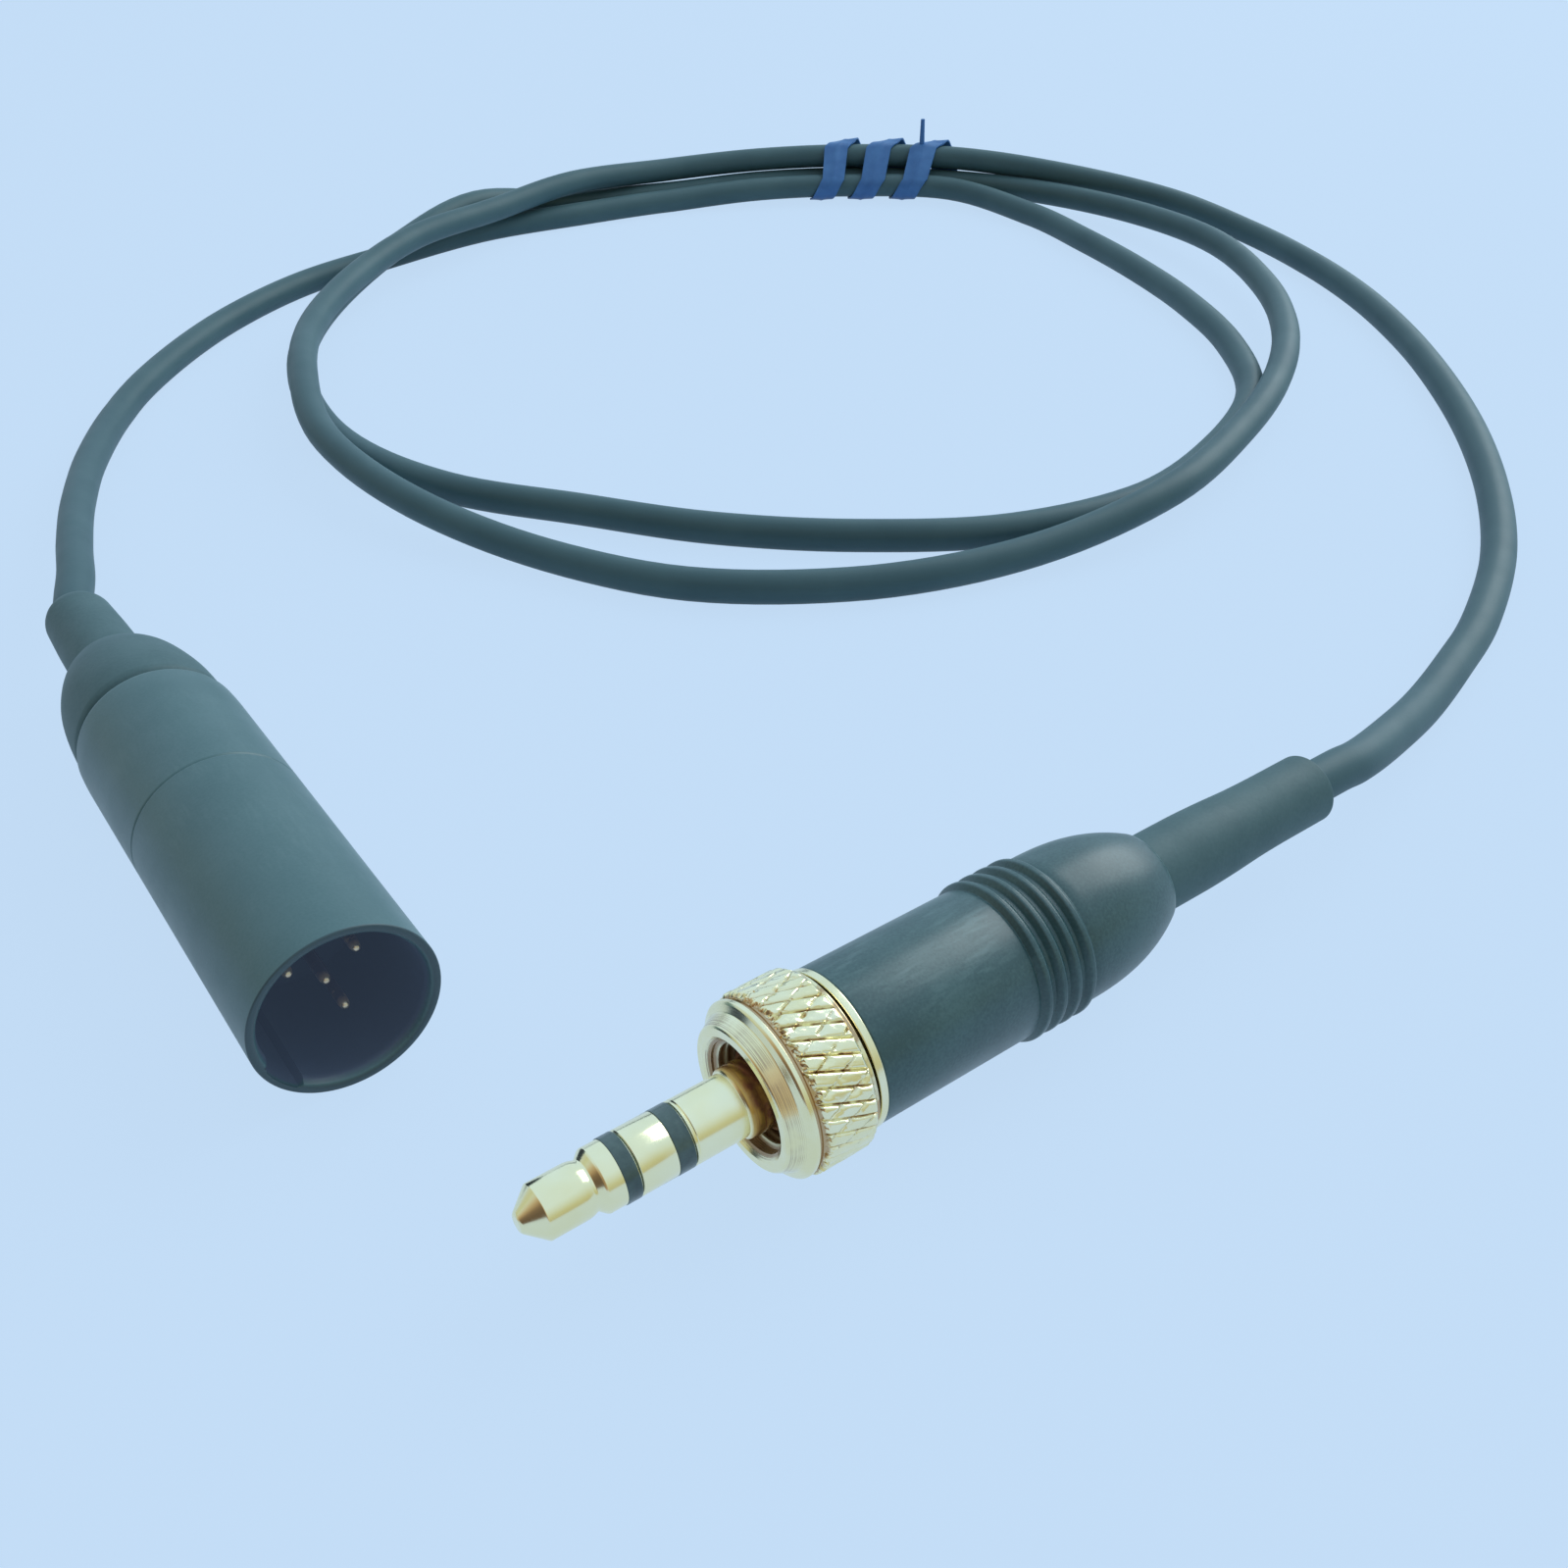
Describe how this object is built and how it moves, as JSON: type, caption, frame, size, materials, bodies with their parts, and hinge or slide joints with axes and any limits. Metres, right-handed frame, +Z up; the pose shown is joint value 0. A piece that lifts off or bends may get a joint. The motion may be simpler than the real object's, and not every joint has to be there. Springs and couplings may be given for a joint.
{
  "type": "mini-XLR to jack adapter cable, coiled",
  "caption": "Coiled slim audio adapter cable with a mini-XLR plug on one end and a jack plug with a turning lock ring on the other, held by a twist tie.",
  "frame": {"origin": "middle of the two plugs' joint bounding box, at the surface that they lie on", "axes": "+X along the jack plug from its tip to its cable, +Y along the mini-XLR plug from its open end to its cable, +Z up"},
  "size_m": [0.1498, 0.1474, 0.0109],
  "materials": {
    "xlr_housing": "satin black, slightly rough",
    "jack_housing": "semi-gloss black with faint scuffs",
    "soft_black": "matt black",
    "cable_jacket": "satin black jacket",
    "gold_contacts": "polished gold plate",
    "gold_hardware": "polished pale gold plate",
    "nickel": "bright nickel plate",
    "insulator": "dark moulded plastic",
    "wire_red": "coloured insulation",
    "wire_white": "coloured insulation",
    "wire_blue": "coloured insulation",
    "tie_blue": "blue paper-and-plastic ribbon"
  },
  "bodies": {
    "cable": {"xlr_shell": "xlr_housing", "xlr_rear_shell": "xlr_housing", "xlr_insert": "insulator", "xlr_pin_1": "gold_contacts", "xlr_pin_2": "gold_contacts", "xlr_pin_3": "gold_contacts", "xlr_pin_4": "gold_contacts", "xlr_cable_clamp": "insulator", "xlr_rear_cap": "soft_black", "xlr_cable_sleeve": "soft_black", "xlr_wire_1": "wire_red", "xlr_wire_2": "wire_white", "xlr_wire_3": "wire_blue", "xlr_cable_end": "cable_jacket", "jack_tip": "gold_contacts", "jack_front_insulator": "insulator", "jack_ring_contact": "gold_contacts", "jack_rear_insulator": "insulator", "jack_sleeve": "gold_contacts", "jack_ring_lug": "nickel", "jack_lug_washer": "insulator", "jack_tip_lug": "nickel", "lock_ring_clip": "nickel", "jack_collar": "gold_hardware", "jack_shell": "jack_housing", "jack_liner": "insulator", "jack_cable_clamp": "nickel", "jack_bend_relief": "soft_black", "jack_wire_1": "wire_red", "jack_wire_2": "wire_white", "jack_wire_3": "wire_blue", "jack_cable_end": "cable_jacket", "cable_lead_xlr": "cable_jacket", "cable_coil": "cable_jacket", "cable_lead_jack": "cable_jacket", "twist_tie": "tie_blue"},
    "lock_ring": {"lock_ring": "gold_hardware"}
  },
  "joints": [
    {"name": "lock_ring_spin", "type": "hinge", "parent": "cable", "child": "lock_ring", "pos_m": [-0.0072, -0.031, 0.0051], "axis": [1, 0, 0], "continuous": true}
  ]
}
